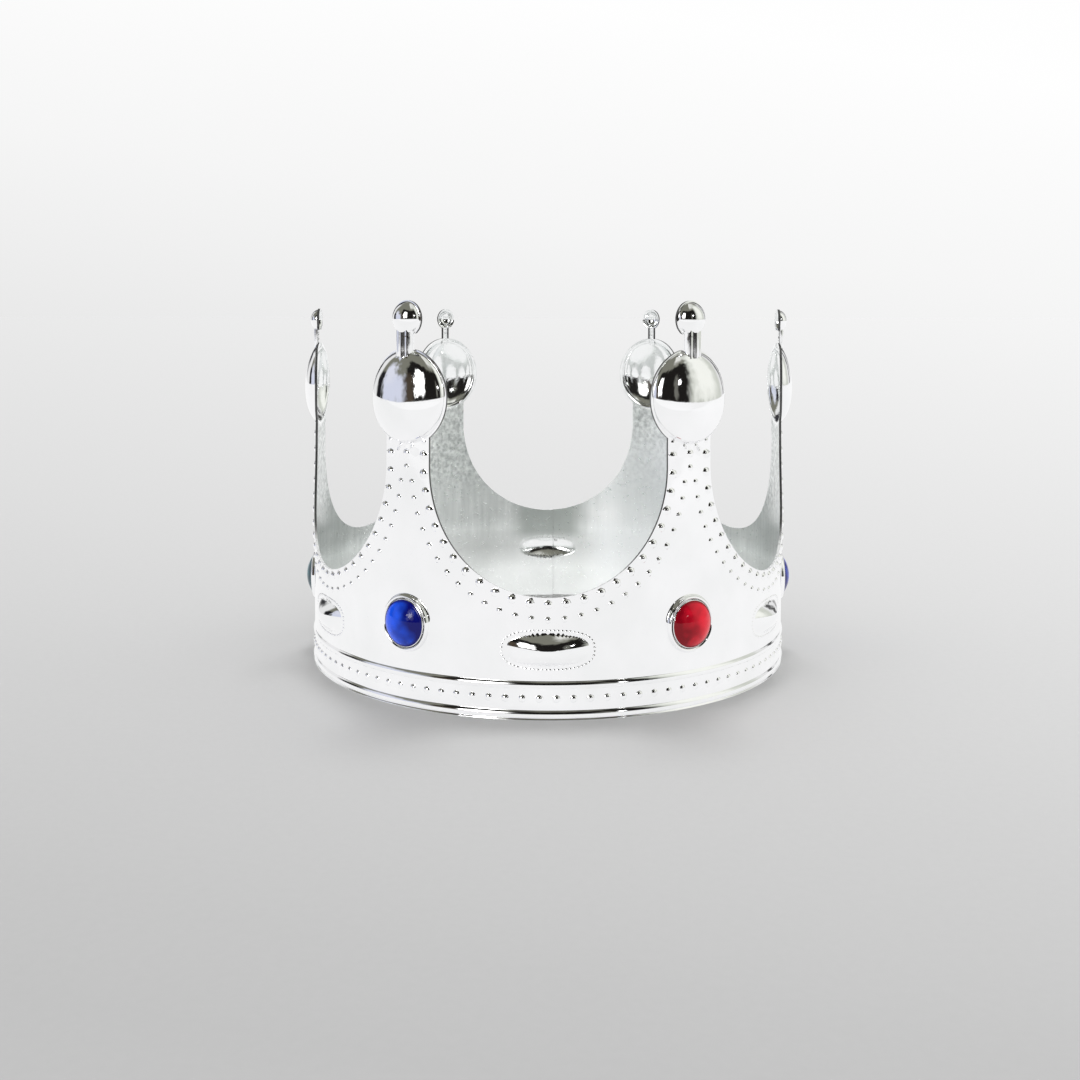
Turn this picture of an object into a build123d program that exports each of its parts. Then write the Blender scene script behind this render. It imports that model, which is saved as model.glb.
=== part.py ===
from build123d import *
from math import acos, atan2, cos, degrees, radians, sin, tan
import os

# A party crown: one thin formed plastic strip bent into an oval ring and lapped at the back,
# with six finials along its top edge and six cabochon gems glued to raised pads.
# Millimetres. The origin is the centre of the oval on the table; +Z is up and -Y is the front.

# ---- driving dimensions -------------------------------------------------------------------
HALF_WIDTH = 85.0           # outer half axis of the oval, side to side
HALF_DEPTH = 94.7           # outer half axis of the oval, front to back
LEAN = 1.0                  # degrees the wall leans inward as it rises
SHEET = 0.8                 # thickness of the plastic
SPIRES = 6                  # finials, gems, arches and capsule bosses: one of each per bay

WALL_TOP = 90.0             # the wall ends inside the finial discs
ARCH_RADIUS = 38.5          # half width and radius of each arched opening
ARCH_CENTRE = 76.1          # height of the arch centre

LIP_RIB = 1.6               # height of the half-round rib at the bottom edge
TOP_RIB = 11.2              # height of the half-round rib above the bead row
RIB_HALF = 1.1              # half the height of a rib
RIB_RELIEF = 0.5            # how far a rib stands out

PAD_HEIGHT = 27.0           # centre of the gem pads
PAD_RADIUS = 8.9            # pad at the wall
PAD_FLAT = 8.1              # flat top of the pad
PAD_RELIEF = 0.8
GLUE_RADIUS = 5.5
GLUE_FILM = 0.15
GEM_RADIUS = 7.6
GEM_EDGE = 0.7              # thickness of the gem's rim
GEM_CROWN_RADIUS = 6.8      # domed part inside the rim
GEM_CROWN = 2.7             # how far the dome rises above the rim
GEM_SHOULDER = 1.6          # radius of the dome's rounded edge

BOSS_HEIGHT = 21.5          # centre of the capsule bosses
BOSS_LENGTH = 25.4          # capsule outline at the wall
BOSS_WIDTH = 9.6
BOSS_RELIEF = 2.8

FINIAL_OUTSET = 0.15        # the flat finial discs stand this far proud of the wall's face
DISC_HEIGHT = 96.7          # centre of the large finial disc
DISC_RADIUS = 14.7
DOME_RADIUS = 14.0
DOME_RELIEF = 5.5
DOME_SHOULDER = 3.4         # radius of the dome's rounded edge
STEM_FOOT = 109.5           # the stem grows out of the top of the large dome
# Ball and stem of the two front finials, which are larger than those of the other four.
FRONT_STEM_WIDTH = 5.8
FRONT_STEM_RELIEF = 2.4
FRONT_BALL_HEIGHT = 120.2
FRONT_BALL_RADIUS = 5.4
FRONT_BALL_DOME = 5.0
FRONT_BALL_RELIEF = 3.6
FRONT_BALL_SHOULDER = 2.6
# Ball and stem of the finials at the sides and back.
REAR_STEM_WIDTH = 3.6
REAR_STEM_RELIEF = 1.3
REAR_BALL_HEIGHT = 119.2
REAR_BALL_RADIUS = 4.0
REAR_BALL_DOME = 3.7
REAR_BALL_RELIEF = 2.8
REAR_BALL_SHOULDER = 2.0

INNER_END = 2.3             # the inner end of the strip stops this far to the right of centre
OUTER_END = -9.0            # the outer end stops this far to the left of centre
JOG_START = -20.0           # the strip starts to step inward here
JOG_END = -10.5             # and has stepped in by one sheet and the glue gap here
LAP_GAP = 0.2               # gap between the lapped ends
SEAM_FILM = 0.16            # glue film in that gap
SEAM_FILM_TOP = 35.0
SEAM_MARGIN = 0.4           # the film stops short of both ends

# Gems in order round the rim, from the front centre towards the right.
GEM_NAMES = [
    "gem_front_right", "gem_right", "gem_back_right", "gem_back_left", "gem_left", "gem_front_left",
]

os.makedirs("parts", exist_ok=True)

# ---- derived dimensions -------------------------------------------------------------------
SLOPE = tan(radians(LEAN))
LAP_STEP = SHEET + LAP_GAP
# A pill shape sunk into the wall: its radius and how deep its axis lies.
PILL_RADIUS = (BOSS_RELIEF + (BOSS_WIDTH / 2) ** 2 / BOSS_RELIEF) / 2
PILL_DEPTH = PILL_RADIUS - BOSS_RELIEF
PILL_HALF_STRAIGHT = (BOSS_LENGTH - BOSS_WIDTH) / 2


def angle_at(x, inset=0.0):
    """Angle, on the oval this far inside the rim, of the point at this x on the back."""
    return degrees(acos(x / (HALF_WIDTH - inset)))


# The oval at the bottom edge, run once round from the front centre towards the right.
with BuildLine() as rim:
    EllipticalCenterArc((0, 0), HALF_WIDTH, HALF_DEPTH, start_angle=-90, arc_size=360)
rim_edge = rim.edges()[0]
BAY = rim_edge.length / SPIRES
ARCH_PLACES = [bay * BAY for bay in range(SPIRES)]
SPIRE_PLACES = [(bay + 0.5) * BAY for bay in range(SPIRES)]
BACK = SPIRES // 2          # the bay whose arch and capsule the lap runs through


def wall_plane(distance, height=0.0, relief=0.0):
    """Plane on the outer wall at this distance round the rim: x along, y up the wall, z out."""
    here = rim_edge.position_at(distance, PositionMode.LENGTH)
    along = rim_edge.tangent_at(distance, PositionMode.LENGTH)
    level_out = along.cross(Vector(0, 0, 1))
    outward = level_out * cos(radians(LEAN)) + Vector(0, 0, 1) * sin(radians(LEAN))
    foot = Plane(origin=here, x_dir=along, z_dir=outward)
    return Plane(origin=foot.from_local_coords((0, height, relief)), x_dir=along, z_dir=outward)


def turning_plane(centre):
    """Plane across a round feature: x along the rim and y out of the wall, for its section."""
    return Plane(origin=centre.origin, x_dir=centre.x_dir, z_dir=-centre.y_dir)


def out_axis(centre):
    """Axis through a round feature, straight out of the wall."""
    return Axis(centre.origin, centre.z_dir)


def wall_rail(shift, head=WALL_TOP):
    """The strip's face as seen in cross-section, moved outward by shift, from bottom to head."""
    def face(height, relief=0.0):
        return (shift + relief - SLOPE * height, height)

    def rib(centre):
        ThreePointArc(face(centre - RIB_HALF), face(centre, RIB_RELIEF), face(centre + RIB_HALF))

    Line(face(0), face(LIP_RIB - RIB_HALF))
    rib(LIP_RIB)
    Line(face(LIP_RIB + RIB_HALF), face(TOP_RIB - RIB_HALF))
    rib(TOP_RIB)
    Line(face(TOP_RIB + RIB_HALF), face(head))
    return face(0), face(head)


def inner_cone(inset):
    """The space inside the leaning wall, this far in from its outer face."""
    with BuildPart() as space:
        for height in (0.0, WALL_TOP):
            shrink = inset + SLOPE * height
            with BuildSketch(Plane.XY.offset(height)):
                Ellipse(HALF_WIDTH - shrink, HALF_DEPTH - shrink)
        loft(ruled=True)
    return space.part


def sweep_strip(path, outer_face=0.0, inner_face=-SHEET, head=WALL_TOP):
    """The wall's cross-section, with its ribs, carried along a path on the table."""
    along = path.tangent_at(0)
    out = along.cross(Vector(0, 0, 1))
    with BuildPart() as strip:
        with BuildSketch(Plane(origin=path.position_at(0), x_dir=out, z_dir=-along)):
            with BuildLine():
                outer_foot, outer_head = wall_rail(outer_face, head)
                inner_foot, inner_head = wall_rail(inner_face, head)
                Line(outer_foot, inner_foot)
                Line(outer_head, inner_head)
            make_face()
        sweep(path=path)
    return strip.part


def dome_rail(radius, relief, shoulder):
    """Half a dome's section: a round shoulder rising from the plane, then one flatter arc."""
    rise = relief - shoulder
    reach = radius - shoulder
    sink = (reach ** 2 - rise ** 2) / (2 * rise)
    turn = degrees(atan2(sink, reach))
    CenterArc((reach, 0), shoulder, 0, turn)
    CenterArc((0, -sink), relief + sink, turn, 90 - turn)


def dome(centre, radius, relief, shoulder, back, rim):
    """A dome on a round disc that is this wide at the rim and goes this far back."""
    with BuildPart() as cap:
        with BuildSketch(turning_plane(centre)):
            with BuildLine():
                dome_rail(radius, relief, shoulder)
                Polyline((0, relief), (0, -back), (rim, -back), (rim, 0), (radius, 0))
            make_face()
        revolve(axis=out_axis(centre))
    return cap.part


def hollow(centre, radius, relief, shoulder, back):
    """The space under a dome's sheet, running back this far behind the plane."""
    with BuildPart() as space:
        with BuildSketch(turning_plane(centre)):
            with BuildLine():
                dome_rail(radius - SHEET, relief - SHEET, shoulder - SHEET)
                Polyline((0, relief - SHEET), (0, -back), (radius - SHEET, -back),
                         (radius - SHEET, 0))
            make_face()
        revolve(axis=out_axis(centre))
    return space.part


def stem(place, width, relief, head):
    """A half-round bar up the wall's face, from the large dome to this height inside the ball."""
    foot = wall_plane(place, STEM_FOOT, FINIAL_OUTSET)
    with BuildPart() as bar:
        with BuildSketch(Plane(origin=foot.origin, x_dir=foot.x_dir, z_dir=foot.y_dir)):
            with BuildLine():
                EllipticalCenterArc((0, 0), width / 2, relief, start_angle=180, arc_size=180)
                Polyline((width / 2, 0), (width / 2, SHEET), (-width / 2, SHEET), (-width / 2, 0))
            make_face()
        extrude(amount=head - STEM_FOOT)
    return bar.part


def pill(place, inset, from_x=-BOSS_LENGTH, to_x=BOSS_LENGTH):
    """Rounded capsule sunk in the wall, this far inside its outer skin, cut off at two x."""
    radius = PILL_RADIUS - inset
    centre = wall_plane(place, BOSS_HEIGHT, -PILL_DEPTH)
    with BuildPart() as capsule:
        with BuildSketch(turning_plane(centre)):
            SlotCenterToCenter(2 * PILL_HALF_STRAIGHT, 2 * radius)
            with Locations((0, -radius)):
                Rectangle(2 * BOSS_LENGTH, 2 * radius, mode=Mode.SUBTRACT)
        revolve(axis=Axis(centre.origin, centre.x_dir), revolution_arc=360)
        with BuildSketch(centre):
            with Locations(((from_x + to_x) / 2, 0)):
                Rectangle(to_x - from_x, 3 * BOSS_WIDTH)
        extrude(amount=3 * BOSS_WIDTH, mode=Mode.INTERSECT, both=True)
    return capsule.part


# ---- the strip, from the jog round the front to its outer end -----------------------------
with BuildLine() as long_run:
    EllipticalCenterArc(
        (0, 0), HALF_WIDTH, HALF_DEPTH, start_angle=angle_at(JOG_START),
        arc_size=360 - angle_at(JOG_START) + angle_at(OUTER_END),
    )

with BuildPart() as outer_layer:
    for place in ARCH_PLACES[:BACK] + ARCH_PLACES[BACK + 1:]:
        add(pill(place, 0.0))
    add(pill(ARCH_PLACES[BACK], 0.0, to_x=-OUTER_END))
    for place in SPIRE_PLACES:
        pad = wall_plane(place, PAD_HEIGHT)
        with BuildSketch(turning_plane(pad)):
            with BuildLine():
                Polyline((0, PAD_RELIEF), (PAD_FLAT, PAD_RELIEF), (PAD_RADIUS, -SHEET / 2),
                         (PAD_RADIUS, -2 * SHEET), (0, -2 * SHEET), close=True)
            make_face()
        revolve(axis=out_axis(pad))
    add(inner_cone(SHEET / 2), mode=Mode.SUBTRACT)
    add(sweep_strip(long_run.wires()[0]))
    for place in ARCH_PLACES[:BACK] + ARCH_PLACES[BACK + 1:]:
        add(pill(place, SHEET), mode=Mode.SUBTRACT)
    add(pill(ARCH_PLACES[BACK], SHEET, to_x=-OUTER_END), mode=Mode.SUBTRACT)
    for place in SPIRE_PLACES:
        pad = wall_plane(place, PAD_HEIGHT)
        with BuildSketch(turning_plane(pad)):
            with BuildLine():
                Polyline((0, PAD_RELIEF - SHEET), (PAD_FLAT - SHEET / 2, PAD_RELIEF - SHEET),
                         (PAD_RADIUS - SHEET, -SHEET), (PAD_RADIUS - SHEET, -4 * SHEET),
                         (0, -4 * SHEET), close=True)
            make_face()
        revolve(axis=out_axis(pad), mode=Mode.SUBTRACT)


# ---- the strip's inner end: it steps inward and runs on behind the outer end --------------
with BuildLine() as lapped_run:
    inner_arc = EllipticalCenterArc(
        (0, 0), HALF_WIDTH - LAP_STEP, HALF_DEPTH - LAP_STEP,
        start_angle=angle_at(INNER_END, LAP_STEP),
        arc_size=angle_at(JOG_END, LAP_STEP) - angle_at(INNER_END, LAP_STEP),
    )
    Spline(
        inner_arc @ 1, long_run.line @ 0,
        tangents=(inner_arc % 1, long_run.line % 0),
    )

with BuildPart() as inner_layer:
    add(pill(ARCH_PLACES[BACK], LAP_STEP, from_x=-INNER_END))
    add(inner_cone(LAP_STEP + SHEET / 2), mode=Mode.SUBTRACT)
    add(sweep_strip(lapped_run.wires()[0]))
    add(pill(ARCH_PLACES[BACK], LAP_STEP + SHEET, from_x=-INNER_END), mode=Mode.SUBTRACT)

# ---- the whole band: both layers, the arched openings and the finials ---------------------
with BuildPart() as crown_band:
    add(outer_layer.part)
    add(inner_layer.part)

    # An arched opening centred in each bay, its width measured along the curved wall.
    for place in ARCH_PLACES:
        opening = wall_plane(place, ARCH_CENTRE)
        right_neck, left_neck = [
            opening.to_local_coords(
                rim_edge.position_at((place + side) % rim_edge.length, PositionMode.LENGTH)
            )
            for side in (ARCH_RADIUS, -ARCH_RADIUS)
        ]
        half_chord = (right_neck.X - left_neck.X) / 2
        with BuildSketch(opening):
            Ellipse(half_chord, ARCH_RADIUS)
            Rectangle(2 * half_chord, ARCH_RADIUS, align=(Align.CENTER, Align.MIN))
        extrude(amount=ARCH_RADIUS / 2, both=True, mode=Mode.SUBTRACT)

    # Each finial: a flat disc with a dome on it, then a half-round stem with a small ball.
    for place in SPIRE_PLACES:
        disc = wall_plane(place, DISC_HEIGHT, FINIAL_OUTSET)
        add(dome(disc, DOME_RADIUS, DOME_RELIEF, DOME_SHOULDER, SHEET, DISC_RADIUS))
    for place in (SPIRE_PLACES[0], SPIRE_PLACES[-1]):
        add(stem(place, FRONT_STEM_WIDTH, FRONT_STEM_RELIEF, FRONT_BALL_HEIGHT - FRONT_BALL_DOME + SHEET))
        ball = wall_plane(place, FRONT_BALL_HEIGHT, FINIAL_OUTSET)
        add(dome(ball, FRONT_BALL_DOME, FRONT_BALL_RELIEF, FRONT_BALL_SHOULDER, SHEET,
                 FRONT_BALL_RADIUS))
        add(hollow(ball, FRONT_BALL_DOME, FRONT_BALL_RELIEF, FRONT_BALL_SHOULDER, 2 * SHEET),
            mode=Mode.SUBTRACT)
    for place in SPIRE_PLACES[1:-1]:
        add(stem(place, REAR_STEM_WIDTH, REAR_STEM_RELIEF, REAR_BALL_HEIGHT - REAR_BALL_DOME + SHEET))
        ball = wall_plane(place, REAR_BALL_HEIGHT, FINIAL_OUTSET)
        add(dome(ball, REAR_BALL_DOME, REAR_BALL_RELIEF, REAR_BALL_SHOULDER, SHEET,
                 REAR_BALL_RADIUS))
        add(hollow(ball, REAR_BALL_DOME, REAR_BALL_RELIEF, REAR_BALL_SHOULDER, 2 * SHEET),
            mode=Mode.SUBTRACT)
    for place in SPIRE_PLACES:
        disc = wall_plane(place, DISC_HEIGHT, FINIAL_OUTSET)
        add(hollow(disc, DOME_RADIUS, DOME_RELIEF, DOME_SHOULDER, 3 * SHEET), mode=Mode.SUBTRACT)
crown_band.part.label = "crown_band"
export_step(crown_band.part, "parts/crown_band.step")

# ---- the gems, each a flat-backed cabochon with a thin rim --------------------------------
for gem_name, place in zip(GEM_NAMES, SPIRE_PLACES):
    rim_top = wall_plane(place, PAD_HEIGHT, PAD_RELIEF + GLUE_FILM + GEM_EDGE)
    with BuildPart() as gem:
        add(dome(rim_top, GEM_CROWN_RADIUS, GEM_CROWN, GEM_SHOULDER, GEM_EDGE, GEM_RADIUS))
    gem.part.label = gem_name
    export_step(gem.part, f"parts/{gem_name}.step")

# ---- glue: a dot under every gem and a film between the lapped ends -----------------------
with BuildPart() as gem_glue_dots:
    for place in SPIRE_PLACES:
        with BuildSketch(wall_plane(place, PAD_HEIGHT, PAD_RELIEF)):
            Circle(GLUE_RADIUS)
        extrude(amount=GLUE_FILM)
gem_glue_dots.part.label = "gem_glue_dots"
export_step(gem_glue_dots.part, "parts/gem_glue_dots.step")

with BuildPart() as seam_glue:
    with BuildLine() as seam_run:
        EllipticalCenterArc(
            (0, 0), HALF_WIDTH, HALF_DEPTH, start_angle=angle_at(INNER_END - SEAM_MARGIN),
            arc_size=angle_at(OUTER_END + SEAM_MARGIN) - angle_at(INNER_END - SEAM_MARGIN),
        )
    film_slack = (LAP_GAP - SEAM_FILM) / 2
    add(sweep_strip(seam_run.wires()[0], -SHEET - film_slack, -SHEET - film_slack - SEAM_FILM,
                    head=SEAM_FILM_TOP))
    add(pill(ARCH_PLACES[BACK], -SHEET), mode=Mode.SUBTRACT)
seam_glue.part.label = "seam_glue"
export_step(seam_glue.part, "parts/seam_glue.step")
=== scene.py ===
import math
from typing import NamedTuple

import bmesh
import bpy
import numpy as np
from mathutils import Matrix, Vector
from mathutils.geometry import delaunay_2d_cdt


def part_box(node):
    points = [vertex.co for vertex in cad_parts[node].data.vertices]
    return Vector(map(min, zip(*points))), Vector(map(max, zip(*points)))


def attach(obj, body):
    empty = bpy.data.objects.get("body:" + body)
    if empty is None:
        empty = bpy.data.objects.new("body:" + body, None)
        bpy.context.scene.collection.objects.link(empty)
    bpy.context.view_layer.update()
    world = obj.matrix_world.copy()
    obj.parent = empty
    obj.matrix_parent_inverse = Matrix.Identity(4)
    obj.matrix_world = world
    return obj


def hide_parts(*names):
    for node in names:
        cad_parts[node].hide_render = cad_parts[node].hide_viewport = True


# A silver party crown. The band is one formed sheet: its flat pattern is triangulated with every
# stud, bead, boss and dome as real relief, given a thickness, and then bent round the CAD's oval.
# The pattern is worked out in millimetres and turned into metres when the meshes are made.

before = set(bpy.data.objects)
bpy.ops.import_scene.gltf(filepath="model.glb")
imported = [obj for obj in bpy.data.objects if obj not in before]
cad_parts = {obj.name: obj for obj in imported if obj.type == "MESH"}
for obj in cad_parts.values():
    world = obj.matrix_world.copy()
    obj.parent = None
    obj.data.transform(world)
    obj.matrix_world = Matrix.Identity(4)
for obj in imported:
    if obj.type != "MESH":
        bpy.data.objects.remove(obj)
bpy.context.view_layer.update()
MM = 0.001

# ---- the CAD's own sizes, read from the frame ---------------------------------------------
LEVEL = 0.05 * MM
foot = [v.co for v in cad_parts["crown_band"].data.vertices if v.co.z < LEVEL]
HALF_WIDTH = max(c.x for c in foot) / MM
HALF_DEPTH = max(-c.y for c in foot) / MM
GEM_LOW, GEM_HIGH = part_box("gem_right")
GEM_HEIGHT = (GEM_LOW.z + GEM_HIGH.z) / 2 / MM
GEM_RADIUS = (GEM_HIGH.y - GEM_LOW.y) / 2 / MM

# ---- the sheet and its outline ------------------------------------------------------------
SHEET = 0.8
LEAN = math.tan(math.radians(1.0))
NOD = 0.6                       # how much further the finials lean in than the wall
NOD_START = 50.0
NOD_LENGTH = 60.0
BAYS = 6
FRONT_BAYS = (-1, 0)
ARCH_RADIUS = 38.5
ARCH_CENTRE = 76.1
DISC_HEIGHT = 96.7
DISC_RADIUS = 14.7
DOME_RADIUS = 14.2
TOP = 125.6                     # height of the tallest balls' tops


class Finial(NamedTuple):
    """The sizes that differ between finials: large dome, stem and the small ball on top."""
    dome_relief: float
    dome_fullness: float        # 2 is an ellipsoid, more is boxier
    dome_skirt: float           # share of the dome sunk in the sheet
    stem_half: float
    stem_relief: float
    ball_height: float
    ball_radius: float
    ball_dome: float
    ball_relief: float


# The two front finials carry a larger ball on a thicker stem than the other four.
FRONT_FINIAL = Finial(5.4, 2.2, 0.15, 3.0, 2.7, 120.1, 5.5, 5.2, 3.7)
REAR_FINIAL = Finial(4.5, 2.0, 0.3, 1.75, 1.3, 119.2, 4.0, 3.7, 2.7)


# ---- relief that stands out of the sheet --------------------------------------------------
class StudRow(NamedTuple):
    """A row of studs that follows an arch at a distance from its centre, then runs straight up."""
    reach: float
    radius: float
    relief: float
    pitch: float
    count: int


STUD_ROWS = [StudRow(40.5, 1.5, 0.7, 5.57, 13), StudRow(45.2, 1.1, 0.5, 5.06, 14)]
NECK_STUDS = [(0.0, 75.4, 1.1), (0.0, 79.7, 1.35), (2.3, 82.0, 0.6), (6.7, 83.4, 0.9)]  # u, v, radius
NECK_STUD_RELIEF = 0.45         # relief as a share of the radius
BEAD_ROW = (6.6, 1.25, 0.55)    # height, radius, relief
BEADS_PER_BAY = 18
RIBS = [(1.75, 1.15, 0.5), (10.85, 1.15, 0.5)]              # height, half height, relief
HEM = (0.55, 0.3)               # height and flare of the bottom hem
CAPSULE = (21.6, 12.8, 4.75, 2.8)                           # height, half length, half width, relief
CAPSULE_CROWN = 1.75            # 2 is a parabola, less is more ridged
SQUARENESS = 2.7                # how boxy the capsule's outline is
ROPE = (14.3, 6.05, 0.5, 0.26)  # half length, half width, bead radius, relief
ROPE_BEADS = 56
DOME_LOW = 0.1                  # how much fuller the large dome is at its foot
DOME_SKIRT = 0.12
DOME_FALL = 4                   # how fast a dome drops away past its own radius
FILLET = 0.12
FLUTING = 0.22                  # depth of the flutes in a stem
FLUTES = 2.7                    # half waves of fluting from the stem's middle to its side
PAD_RELIEF = 0.8
PAD_CREST = (8.45, 0.6)         # radius and rise of the ring round a gem
PAD_FOOT = 9.3
PAD_EDGE = 9.6                  # a pad is flat inside its crest and part of the wall out here
INSIDE_SHARE = 0.01             # how much of the fine relief shows inside

# ---- the lap at the back ------------------------------------------------------------------
INNER_END = 2.3
OUTER_END = 9.0
JOG_START = 20.0
JOG_END = 10.5
LAP_STEP = 1.0

# ---- the mesh of the flat pattern ---------------------------------------------------------
SPACING = 2.9                   # between filler points on the plain wall
CLOSEST = 0.16                  # between any two points inside the outline
CLOSEST_ON_EDGE = 0.18
EDGE_MARGIN = 0.12
FILLER_MARGIN = 0.9
ON_LINE = 1e-4
STUD_RINGS = ((0.42, 0.68, 0.88, 1.06), 8)                  # shares of the radius, points round each
ROPE_RINGS = ((0.6, 1.05), 6)
CAPSULE_ANGLES = (12, 24, 35, 45, 54, 62, 70)
CAPSULE_FOOT = [0.97, 0.99, 1.01, 1.03, 1.06]
SEAT_RINGS = ([2.5, 5.0, 7.0], 24)
PAD_RINGS = ([7.6, 7.8, 8.0, 8.25, 8.5, 8.75, 8.9, 9.05, 9.2, 9.35, 9.5, 9.65, 9.9, 10.4], 72)
PAD_ZONE = 11.3
DOME_FOOT = (0.87, 0.91, 0.94, 0.962, 0.979, 0.991, 1.005, 1.02)
RIB_SHARES = (-1.15, -0.95, -0.7, -0.35, 0.0, 0.35, 0.7, 0.95, 1.15)


def ease(x):
    """Smooth step from 0 to 1."""
    x = np.clip(x, 0.0, 1.0)
    return x * x * (3 - 2 * x)


# ---- the oval -----------------------------------------------------------------------------
class Oval:
    """The bottom edge of the band, measured round from the front centre towards the right."""

    def __init__(self, half_width, half_depth):
        self.half = (half_width, half_depth)
        self.turn = np.linspace(-0.5 * math.pi, 1.5 * math.pi, 40001)
        speed = np.hypot(half_width * np.sin(self.turn), half_depth * np.cos(self.turn))
        steps = (speed[1:] + speed[:-1]) / 2 * np.diff(self.turn)
        self.run = np.concatenate([[0.0], np.cumsum(steps)])
        self.length = self.run[-1]

    def at(self, distance):
        """Point, direction along and direction out, each as an (n, 2) array."""
        t = np.interp(np.mod(distance, self.length), self.run, self.turn)
        a, b = self.half
        point = np.stack([a * np.cos(t), b * np.sin(t)], -1)
        along = np.stack([-a * np.sin(t), b * np.cos(t)], -1)
        along /= np.linalg.norm(along, axis=-1, keepdims=True)
        out = np.stack([along[..., 1], -along[..., 0]], -1)
        return point, along, out


OVAL = Oval(HALF_WIDTH, HALF_DEPTH)
BAY = OVAL.length / BAYS
HALF_BAY = BAY / 2


# ---- relief of the formed sheet, as a height over the flat pattern -------------------------
# A point of the pattern is u, its distance from the centre line of the nearest finial, and v,
# its height up the wall. Every bay is the same on both sides of its centre line.
def stud_places():
    """Every stud of half a bay, as (u, v, radius, relief)."""
    places = []
    for row in STUD_ROWS:
        for i in range(row.count):
            turn = min(i * row.pitch / row.reach, math.pi / 2)
            rise = max(i * row.pitch - row.reach * math.pi / 2, 0.0)
            places.append((HALF_BAY - row.reach * math.sin(turn),
                           ARCH_CENTRE - row.reach * math.cos(turn) + rise, row.radius, row.relief))
    places += [(u, v, radius, NECK_STUD_RELIEF * radius) for u, v, radius in NECK_STUDS]
    height, radius, relief = BEAD_ROW
    pitch = BAY / BEADS_PER_BAY
    places += [((i + 0.5) * pitch, height, radius, relief) for i in range(BEADS_PER_BAY // 2)]
    return places


def squircle(turn, half_length, half_width):
    """A point on a boxy oval, measured from its centre."""
    c, s = np.cos(turn), np.sin(turn)
    power = 2 / SQUARENESS
    return (half_length * np.sign(c) * np.abs(c) ** power,
            half_width * np.sign(s) * np.abs(s) ** power)


def rope_places():
    """The rope border's beads on the half of the capsule that lies in this half bay."""
    length, width, radius, relief = ROPE
    turn = np.linspace(0, 2 * math.pi, 4001)
    x, y = squircle(turn, length, width)
    run = np.concatenate([[0], np.cumsum(np.hypot(np.diff(x), np.diff(y)))])
    places = []
    for i in range(ROPE_BEADS):
        t = np.interp((i + 0.5) / ROPE_BEADS * run[-1], run, turn)
        px, py = squircle(t, length, width)
        if px < 0:
            places.append((HALF_BAY + px, CAPSULE[0] + py, radius, relief))
    return places


STUDS = stud_places()
ROPE_STUDS = rope_places()


def soft_top(height):
    """Height where it is above zero, with a small fillet where it meets the sheet."""
    return (height + np.sqrt(height * height + FILLET * FILLET)) / 2 - FILLET / 2


def dome_height(share, relief, skirt=DOME_SKIRT, fullness=2.0):
    """A dome over a unit disc: share is the distance from its middle over its radius."""
    inside = np.clip(1 - share ** fullness, 0.0, None) ** (1 / fullness)
    past = np.clip(share - 1, 0.0, None)
    return soft_top(relief * (1 + skirt) * inside - relief * skirt - relief * past * DOME_FALL)


def bumps(u, v, places):
    """The highest of many small round bumps."""
    height = np.zeros_like(u)
    for cu, cv, radius, relief in places:
        near = (np.abs(u - cu) < radius) & (np.abs(v - cv) < radius)
        share = np.hypot(u[near] - cu, v[near] - cv) / radius
        height[near] = np.maximum(height[near], relief * np.clip(1 - share ** 3, 0, None) ** 1.3)
    return height


def finial_relief(u, v, finial):
    """Relief of a finial: a large dome fuller at its foot, a fluted half-round stem, a small ball."""
    fuller = 1 - DOME_LOW * (v - DISC_HEIGHT) / DOME_RADIUS
    share = np.hypot(u, v - DISC_HEIGHT) / DOME_RADIUS
    height = dome_height(share, finial.dome_relief, finial.dome_skirt, finial.dome_fullness)
    height = height * np.clip(fuller, 0.5, 1.5)
    height += dome_height(np.hypot(u, v - finial.ball_height) / finial.ball_dome, finial.ball_relief)
    across = u / finial.stem_half
    half_round = np.clip(1 - across ** 2, 0, None) ** 0.35
    stem = (finial.stem_relief + FLUTING * np.cos(across * FLUTES * math.pi)) * half_round
    low = DISC_HEIGHT + DOME_RADIUS * 0.8
    high = finial.ball_height - finial.ball_dome * 0.6
    return np.where((v > low) & (v < high), np.maximum(height, stem), height)


def capsule_relief(u, v):
    """Relief of the capsule boss, whose middle is on the far edge of the half bay."""
    middle, half_length, half_width, relief = CAPSULE
    boss = ((np.abs(HALF_BAY - u) / half_length) ** SQUARENESS
            + (np.abs(v - middle) / half_width) ** SQUARENESS) ** (1 / SQUARENESS)
    return relief * np.clip(1 - boss ** CAPSULE_CROWN, 0, None)


def pad_relief(u, v):
    """Relief of a gem's pad: a flat seat with a raised ring at its edge."""
    from_gem = np.hypot(u, v - GEM_HEIGHT)
    crest, rise = PAD_CREST
    slope = ease((PAD_FOOT - from_gem) / (PAD_FOOT - crest))
    ring = rise * np.clip(1 - ((from_gem - crest) / (crest - GEM_RADIUS)) ** 2, 0, None)
    return PAD_RELIEF * slope + ring


def relief_at(u, v, front, fine=1.0):
    """How far the face stands out of the plain wall. Fine relief is fainter inside than outside."""
    height = bumps(u, v, STUDS) + bumps(u, v, ROPE_STUDS)
    for centre, half, rise in RIBS:
        height += rise * np.clip(1 - ((v - centre) / half) ** 2, 0, None) ** 1.1
    hem_height, flare = HEM
    height += flare * ease(1 - v / hem_height) + pad_relief(u, v)
    finials = np.where(front, finial_relief(u, v, FRONT_FINIAL), finial_relief(u, v, REAR_FINIAL))
    return height * fine + capsule_relief(u, v) + finials


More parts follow.
